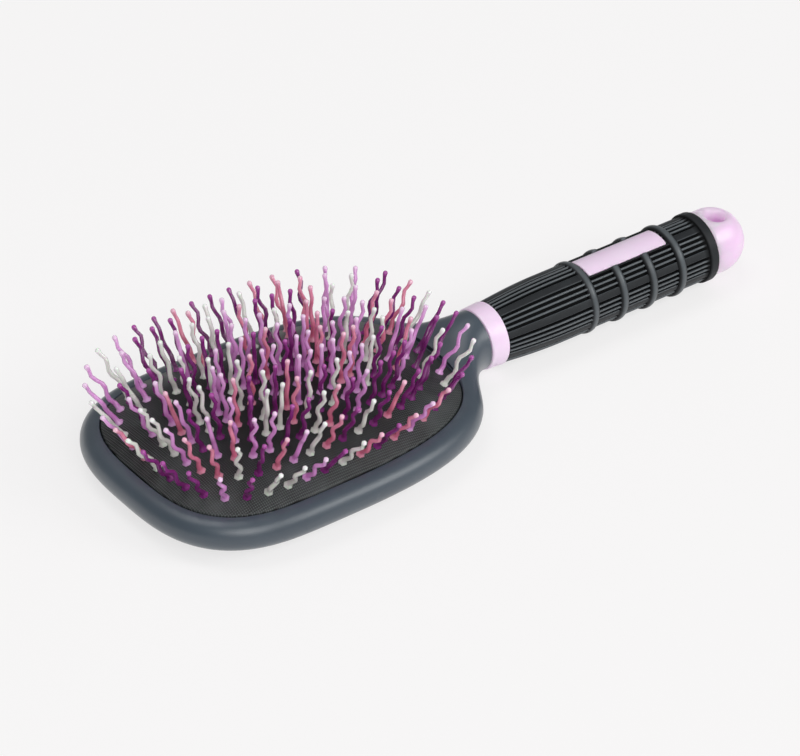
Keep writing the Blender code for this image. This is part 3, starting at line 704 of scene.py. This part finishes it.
def padRing(inset, drop=0.0):
    # a ring of the pad's top: the dome, rounded down at its edge
    points = spaced(openingPlan(inset, plan["samples"]), pad["columns"])
    bend = pad["edgeRound"]
    short = max(bend + fitGap - inset, 0)
    drop += bend - math.sqrt(bend ** 2 - short ** 2)
    return np.column_stack([points, domeHeight(points[:, 0], points[:, 1]) - drop])


def towardsMiddle(ring, rows, drop=0.0):
    # the ring drawn in to the pad's middle in even steps
    share = np.linspace(0, 1, rows + 1)[1:, None, None]
    flat = ring[None, :, :2] * (1 - share) + np.array((padMiddleX, 0)) * share
    height = domeHeight(flat[..., 0], flat[..., 1]) - drop
    return list(np.concatenate([flat, height[..., None]], axis=-1))


def makePad():
    # rings from the middle of the top, over the edge band, round the flange in the groove and back under
    band = [padRing(inset) for inset in pad["bandInsets"]]
    edge = spaced(openingPlan(0, plan["samples"]), pad["columns"])

    def level(width, height):
        # a ring at one height, set out from the opening's edge by width
        return np.column_stack([grown(edge, width), np.full(len(edge), height)])

    rows = towardsMiddle(band[-1], pad["domeRows"])[::-1] + band[::-1]
    rows += [level(-fitGap, plan["rimTop"] - pad["edgeRound"]), level(-fitGap, pad["flangeTop"])]
    rows += [level(pad["flangeReach"], pad["flangeTop"]), level(pad["flangeReach"], pad["flangeBottom"])]
    under = padRing(pad["bandInsets"][-1], pad["thickness"])
    rows += [level(-pad["bandInsets"][-2], pad["flangeBottom"]), under]
    rows += towardsMiddle(under, pad["underRows"], pad["thickness"])
    share = edgeShare(*np.reshape(rows, (-1, 3)).T[:2])
    # the mask of the painted shade of the pins: 0 among the pins, 1 on the bare band at the edge
    share = np.clip((share - pad["shadeFullTo"]) / (pad["unshadedFrom"] - pad["shadeFullTo"]), 0, 1)
    piece = newPiece("cushionDome", rows, gridFaces(len(rows), pad["columns"]), [padSkin],
                     pad["sharp"], values=("edgeShare", share))
    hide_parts("cushion_pad")
    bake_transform(piece)
    print("cushion made:", len(piece.data.polygons), "faces")


makePad()


# Pins

pins = {
    "rings": 5, "edgeDistance": 0.0056, "middleRoom": 0.0016, "pitch": 0.0071, "pitchDrop": 0.0006,
    "leanAlong": 0.90, "leanAlongPower": 2.5, "leanAcross": 1.12, "leanAcrossPower": 2.1,
    "length": 0.0187, "sunk": 0.0005, "flareHeight": 0.00030, "flareEnd": 0.0010,
    "flareRadius": 0.00160, "rootRadius": 0.00090, "topRadius": 0.00067, "ballRadius": 0.00094,
    "stemRings": 9, "stemEndShare": 1.5,   # in ball radii under the ball's middle
    "ballTurns": (-25, 15, 50, 90),        # degrees up from the ball's middle
    "wave": 0.00085, "waveCycles": 1.5, "waveStart": 0.16, "waveEnd": 0.94,
    "sides": 6, "sharp": 75,
    "seed": 4510153, "weights": (7, 5, 4, 4),      # how often each of pinLooks' colours comes up
}


def pinPlaces():
    # rings of pins follow the pad's edge from its front end, closer set inwards, round a straight middle row
    places = []
    ringPitch = (plan["frontReach"] - pins["edgeDistance"] - pins["middleRoom"]) / pins["rings"]
    for ring in range(pins["rings"]):
        inset = pins["edgeDistance"] + ring * ringPitch
        pitch = pins["pitch"] - ring * pins["pitchDrop"]
        dense = np.roll(openingPlan(inset, plan["samples"]), plan["samples"] // 2, axis=0)
        length = np.linalg.norm(np.roll(dense, -1, axis=0) - dense, axis=1).sum()
        places.append(spaced(dense, round(length / pitch), 0.5))
    start, end = padFrontX + inset + ringPitch, padBackX - inset - ringPitch
    count = round((end - start) / pitch) + 1
    return places + [np.column_stack([np.linspace(start, end, count), np.zeros(count)])]


def pinWays(places):
    # pins stand straight in the middle and fan out towards the edges
    along = (places[:, 0] - padMiddleX) / (padBackX - padFrontX) * 2
    across = places[:, 1] / plan["halfWidth"]
    leanX = pins["leanAlong"] * np.sign(along) * np.abs(along) ** pins["leanAlongPower"]
    leanY = pins["leanAcross"] * np.sign(across) * np.abs(across) ** pins["leanAcrossPower"]
    way = np.column_stack([leanX, leanY, np.ones(len(places))])
    return way / np.linalg.norm(way, axis=1)[:, None]


def stemProfile():
    # heights and radii from the sunk foot: a flared foot, a thin stem, and a ball with its pole
    length, ball = pins["length"], pins["ballRadius"]
    stem = np.linspace(pins["flareEnd"], length - pins["stemEndShare"] * ball, pins["stemRings"])
    thin = np.linspace(pins["rootRadius"], pins["topRadius"], pins["stemRings"])
    high = [-pins["sunk"], -pins["sunk"], pins["flareHeight"], *stem]
    wide = [0, pins["flareRadius"], pins["flareRadius"], *thin]
    for turn in pins["ballTurns"]:
        high.append(length + ball * math.sin(math.radians(turn)))
        wide.append(ball * math.cos(math.radians(turn)))
    wide[-1] = 0
    return np.array(high), np.array(wide)


def makePins():
    # Each pin is its stem's profile carried round a line that leans with its place. The line also sways to
    # one drawn side as a sine of the height, and a drawn colour goes with it.
    chance = random.Random(pins["seed"])
    names = list(pinLooks)
    high, wide = stemProfile()
    share = np.clip(high / pins["length"], 0, 1)
    waved = np.clip((share - pins["waveStart"]) / (pins["waveEnd"] - pins["waveStart"]), 0, 1)
    wave = pins["wave"] * np.sin(2 * math.pi * pins["waveCycles"] * waved)
    turn = np.linspace(0, 2 * math.pi, pins["sides"], endpoint=False)
    total = 0
    for index, places in enumerate(pinPlaces()):
        drawn = [(chance.uniform(0, 2 * math.pi), names.index(chance.choices(names, pins["weights"])[0]))
                 for _ in places]
        waveTurn, colors = (np.array(part) for part in zip(*drawn))
        up = pinWays(places)
        side = np.column_stack([up[:, 2], up[:, 2], -up[:, 0] - up[:, 1]])
        side /= np.linalg.norm(side, axis=1)[:, None]
        other = np.cross(up, side)
        sway = side * np.cos(waveTurn)[:, None] + other * np.sin(waveTurn)[:, None]
        foot = np.column_stack([places, domeHeight(*places.T)])
        # the axes of this array are pin, height on the pin, side of the pin, and x y z
        middle = foot[:, None] + up[:, None] * high[:, None] + sway[:, None] * wave[:, None]
        around = side[:, None] * np.cos(turn)[:, None] + other[:, None] * np.sin(turn)[:, None]
        points = middle[:, :, None] + around[:, None] * wide[:, None, None]
        one = gridFaces(len(high), pins["sides"])
        faces = (one + np.arange(len(places))[:, None, None] * len(high) * pins["sides"]).reshape(-1, 4)
        height = np.tile(np.repeat(share, pins["sides"]), len(places))
        name, node = "pinMiddleRow", "bristle_middle_row"
        if index < pins["rings"]:
            name, node = "pinRing%d" % (index + 1), "bristle_ring_%d" % (index + 1)
        piece = newPiece(name, points, faces, pinMaterials, pins["sharp"],
                         values=("stemShare", height), colors=np.repeat(colors, len(one)))
        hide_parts(node)
        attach(piece, "bristle_field")
        total += len(places)
    print("pins made:", total)


makePins()


# Collar between the neck and the grip

collar = {
    "neckRadius": 0.0109, "gripRadius": 0.0113, "bore": 0.0048, "edgeRound": 0.0006, "edgeSteps": 6,
    "sides": 160,
}


def makeCollar():
    # a tapered band with rounded edges, turned round the handle's axis
    bend = collar["edgeRound"]
    corners = [(collarHigh.x, collar["bore"], 0), (collarHigh.x, collar["gripRadius"], bend),
               (collarLow.x, collar["neckRadius"], bend), (collarLow.x, collar["bore"], 0)]
    profile = roundedCorners(corners, collar["edgeSteps"])
    piece = newPiece("collarBand", turnedGrid(profile, collar["sides"]),
                     gridFaces(len(profile), collar["sides"], loop=True), [lilac])
    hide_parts("collar_ring")
    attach(piece, "brush_body")
    print("collar made:", len(piece.data.polygons), "faces")


makeCollar()


# Ribbed grip

grip = {
    "startRadius": 0.0109, "swellRadius": 0.0123, "swellLength": 0.0240, "valleyRadius": 0.0120,
    "endValleyRadius": 0.0118, "bore": 0.0083,
    "lands": 8, "landShare": 0.29, "landRound": 0.0004, "shoulderSteps": 5,
    "grooves": 4, "grooveDepth": 0.0010, "ribShare": 0.45, "ribRoundShare": 0.98,
    "hoops": 4, "firstHoop": 0.0355, "lastSetback": 0.0157, "hoopRadius": 0.0129, "hoopFoot": 0.0110,
    "hoopWidth": 0.0038, "hoopPower": 2.2,
    "endRingRadius": 0.0125, "endRingWidth": 0.0036, "edgeRound": 0.0007,
    "windowHalfAngle": 26.95, "seatRadius": 0.0102,      # angles of the window and its border in degrees
    "borderAngle": 3.3, "borderRadius": 0.01215, "borderLift": 0.00028,
    "wallStep": 0.00001, "swellPlaces": 26, "fieldPlaces": 7, "hoopPlaces": 15, "edgePlaces": 6,
    "borderPlaces": 7, "startShares": (1.5, 2.2, 3), "slack": 1e-9, "sharp": 50,
}
gripLength = gripHigh.x - zeroX
hoopPlaces = np.linspace(grip["firstHoop"], gripLength - grip["lastSetback"], grip["hoops"])
windowStart = plateLow.x - zeroX - fitGap
windowEnd = plateHigh.x - zeroX + fitGap


def ridge(middle, width, bend):
    # way and depth over a ridge whose shoulders are quarter circles, then down its walls to the groove
    turn = np.linspace(-90, 0, grip["shoulderSteps"])
    way = np.radians(np.concatenate([turn, -turn[::-1]]))
    side = np.repeat((-1, 1), grip["shoulderSteps"])
    over = side * (width / 2 - bend) + bend * np.sin(way)
    depth = bend * (1 - np.cos(way))
    over = np.concatenate([[over[0] - grip["wallStep"]], over, [over[-1] + grip["wallStep"]]])
    return middle + over, np.concatenate([[grip["grooveDepth"]], depth, [grip["grooveDepth"]]])


def gripSection():
    # Angles round the grip, with the depth and the crest's share there: each sector holds a wide land, then
    # thin ribs between deep grooves. The share is 1 on a rib, less on a land and 0 on a groove's floor, and
    # it sets the colour from painted shade on the floors to a painted highlight on the crests.
    sector = 2 * math.pi * grip["valleyRadius"] / grip["lands"]
    land = sector * grip["landShare"]
    pitch = (sector - land) / (grip["grooves"] - grip["ribShare"])
    rib = pitch * grip["ribShare"]
    parts = [ridge(sector / 2, land, grip["landRound"])]
    for index in range(1, grip["grooves"]):
        parts.append(ridge(sector / 2 + land / 2 + index * pitch - rib / 2, rib,
                           rib / 2 * grip["ribRoundShare"]))
    way, depth = (np.concatenate(column) for column in zip(*parts))
    turns = (way + np.arange(grip["lands"])[:, None] * sector) / grip["valleyRadius"]
    share = 1 - depth / grip["grooveDepth"]
    landTop = grip["shoulderSteps"]        # of the land's points, the four round its middle are its flat top
    # the land's flat top is dimmed, so that its rounded shoulders keep a painted highlight
    share[landTop - 1:landTop + 3] *= rubberLook["landShare"]
    return turns.ravel(), np.tile(depth, grip["lands"]), np.tile(share, grip["lands"])


def gripTurns():
    # the section's angles, and those of the raised border beside the plate's window
    edge = math.radians(grip["windowHalfAngle"])
    wall = grip["wallStep"] / grip["valleyRadius"]
    border = edge + np.linspace(0, math.radians(grip["borderAngle"]), grip["borderPlaces"])
    border = np.concatenate([[edge - wall], border])
    return np.unique(np.mod(np.concatenate([gripSection()[0], border, -border]), 2 * math.pi))


def gripPlaces():
    # places along the grip, close together where a hoop, the end ring or the window's wall rises
    places = [np.linspace(fitGap, grip["swellLength"], grip["swellPlaces"])]
    places.append([fitGap * share for share in grip["startShares"]])
    across = np.sin(np.linspace(-1, 1, grip["hoopPlaces"]) * math.pi / 2) * grip["hoopWidth"] / 2
    for place in hoopPlaces:
        places.append(place + across)
    gaps = np.concatenate([[grip["swellLength"]], hoopPlaces, [gripLength - grip["endRingWidth"]]])
    for low, high in zip(gaps[:-1], gaps[1:]):
        places.append(np.linspace(low, high, grip["fieldPlaces"])[1:-1])
    bend = grip["edgeRound"] * (1 - np.cos(np.linspace(0, math.pi / 2, grip["edgePlaces"])))
    places += [gripLength - grip["endRingWidth"] + bend, gripLength - bend]
    for wall, way in ((windowStart, -1), (windowEnd, 1)):
        places.append([wall, wall + way * grip["wallStep"]])
    return np.unique(np.concatenate(places).round(7))    # to a tenth of a micrometre


def crest(offset, halfWidth, power):
    # 1 in the middle of a ring and 0 at its sides, with a round shoulder
    return np.sqrt(np.clip(1 - np.abs(offset / halfWidth) ** power, 0, 1))


def gripRadius(place, turn):
    # The barrel's radius less its grooves, or a hoop's, the end ring's or the window border's where that is
    # more. With it comes the crest's share, which on a hoop grows with a power of its rise, so that a hoop
    # gets a painted highlight on its top and painted shade down its sides.
    swell = np.sin(np.clip(place / grip["swellLength"], 0, 1) * math.pi / 2)
    barrel = grip["startRadius"] + (grip["swellRadius"] - grip["startRadius"]) * swell
    taper = np.interp(place, hoopPlaces[[0, -1]], [grip["valleyRadius"], grip["endValleyRadius"]])
    base = np.where(place > hoopPlaces[0], taper, barrel)
    turns, depth, share = gripSection()
    radius = grooved = base - np.interp(turn, turns, depth, period=2 * math.pi)
    angle = np.degrees(np.abs(np.mod(turn + math.pi, 2 * math.pi) - math.pi))
    inWindow = (place >= windowStart) & (place <= windowEnd)
    across = (angle - grip["windowHalfAngle"] - grip["borderAngle"] / 2) / (grip["borderAngle"] / 2)
    border = grip["borderRadius"] + grip["borderLift"] * crest(across, 1, 2)
    radius = np.where(inWindow & (np.abs(across) <= 1), np.maximum(radius, border), radius)
    foot = grip["hoopFoot"]
    for hoop in hoopPlaces:
        rise = crest(place - hoop, grip["hoopWidth"] / 2, grip["hoopPower"])
        radius = np.where(rise > 0, np.maximum(radius, foot + (grip["hoopRadius"] - foot) * rise), radius)
    bend = grip["edgeRound"]
    fromEdge = np.minimum(place - gripLength + grip["endRingWidth"], gripLength - place)
    arc = bend - np.sqrt(np.clip(bend ** 2 - np.clip(bend - fromEdge, 0, bend) ** 2, 0, None))
    ring = np.where(fromEdge > -grip["slack"], grip["endRingRadius"] - arc, 0)
    radius = np.maximum(radius, ring)
    start = np.clip(1 - (place - fitGap) / (2 * fitGap), 0, 1)
    radius = radius - fitGap * start ** 2    # the sleeve's edge is eased beside the collar
    share = np.interp(turn, turns, share, period=2 * math.pi)
    raised = np.clip((radius - foot) / (grip["hoopRadius"] - foot), 0, 1)
    # on a hoop the share sets a painted highlight at the top and painted shade towards the foot
    share = np.where(radius > grooved, rubberLook["hoopShare"] * raised ** rubberLook["hoopFocus"], share)
    return np.where(inWindow & (angle < grip["windowHalfAngle"]), grip["seatRadius"], radius), share


def makeGrip():
    # a grid of places along the grip and angles round it, closed through the bore
    turn = gripTurns()[None, :]
    place = gripPlaces()[:, None]
    radius, share = gripRadius(place, turn)
    bore = np.full_like(turn, grip["bore"])
    place = np.concatenate([place, [[gripLength]], [[fitGap]]])
    radius = np.concatenate([radius, bore, bore])
    share = np.concatenate([share, 0 * bore, 0 * bore])
    points = np.stack([zeroX + place + 0 * turn, radius * np.sin(turn), axisZ + radius * np.cos(turn)],
                      axis=-1)
    piece = newPiece("ribbedGrip", points, gridFaces(*radius.shape, loop=True), [gripRubber],
                     grip["sharp"], values=("paintedLightShare", share))
    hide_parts("grip_sleeve")
    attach(piece, "brush_body")
    print("grip made:", len(piece.data.polygons), "faces")


makeGrip()


# Plate let into the top of the grip

plate = {
    "radius": 0.0119, "bottom": 0.0104, "cornerRound": 0.0006, "edgeRound": 0.0003, "leastRound": 0.00001,
    "cornerSteps": 9, "edgeSteps": 6, "rings": 9, "sides": 240,
}


def makePlate():
    # rounded rectangles on a round surface, up the sides, over a rounded edge and in to the middle
    halfAcross = math.asin(plateHigh.y / plate["radius"]) * plate["radius"]
    halfAlong = (plateHigh.x - plateLow.x) / 2
    middleX = (plateHigh.x + plateLow.x) / 2

    def outline(inset):
        # the rounded rectangle laid flat, drawn in by inset
        across, along = halfAcross - inset, halfAlong - inset
        bend = max(plate["cornerRound"] - inset, plate["leastRound"])
        corners = [(x * along, y * across, bend) for x, y in ((1, 1), (-1, 1), (-1, -1), (1, -1))]
        return spaced(roundedCorners(corners, plate["cornerSteps"]), plate["sides"])

    bend, top, bottom = plate["edgeRound"], plate["radius"], plate["bottom"]
    rows = [(outline(0) * share, bottom) for share in (0, 0.5)] + [(outline(0), bottom)]
    for turn in np.linspace(0, math.pi / 2, plate["edgeSteps"]):
        rows.append((outline(bend * (1 - math.cos(turn))), top - bend + bend * math.sin(turn)))
    rows += [(outline(bend) * share, top) for share in np.linspace(1, 0, plate["rings"])[1:]]
    grid = []
    for flat, radius in rows:
        angle = flat[:, 1] / plate["radius"]
        grid.append(np.column_stack([middleX + flat[:, 0], radius * np.sin(angle),
                                     axisZ + radius * np.cos(angle)]))
    piece = newPiece("barePlate", grid, gridFaces(len(grid), plate["sides"]), [lilac])
    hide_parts("name_plate")
    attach(piece, "brush_body")
    print("plate made:", len(piece.data.polygons), "faces")


makePlate()


# End cap with its hanging hole

cap = {
    "radius": 0.01155, "straight": 0.0056, "edgeRound": 0.0010,
    "socketRadius": 0.0048, "socketDepth": 0.0019,
    "holePlace": 0.0067, "holeRadius": 0.0033, "mouthRound": 0.0040, "cell": 0.00045, "margin": 3,
}


def capDistance(points):
    # a round-ended rod, cut square at the grip, less a socket, less an upright hole with soft mouths
    x, y, z = points[..., 0], points[..., 1], points[..., 2] - axisZ
    reach = np.hypot(y, z)
    dome = np.hypot(np.maximum(x - capLow.x - cap["straight"], 0), reach) - cap["radius"]
    solid = kept(dome, capLow.x - x, cap["edgeRound"])
    socket = np.maximum(reach - cap["socketRadius"], x - capLow.x - cap["socketDepth"])
    hole = np.hypot(x - capLow.x - cap["holePlace"], y) - cap["holeRadius"]
    return kept(np.maximum(solid, -socket), -hole, cap["mouthRound"])


def makeCap():
    # the cap's surface, from a lattice that reaches a few cells past its box
    reach = Vector((1, 1, 1)) * cap["margin"] * cap["cell"]
    points, faces = netSurface(capDistance, capLow - reach, capHigh + reach, cap["cell"])
    piece = newPiece("endCap", points, faces, [clearLilac])
    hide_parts("end_cap")
    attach(piece, "brush_body")
    print("cap made:", len(piece.data.polygons), "faces")


makeCap()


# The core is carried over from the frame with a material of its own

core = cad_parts["handle_core"]
core.data.materials.clear()
core.data.materials.append(coreLilac)

print("all pieces made")
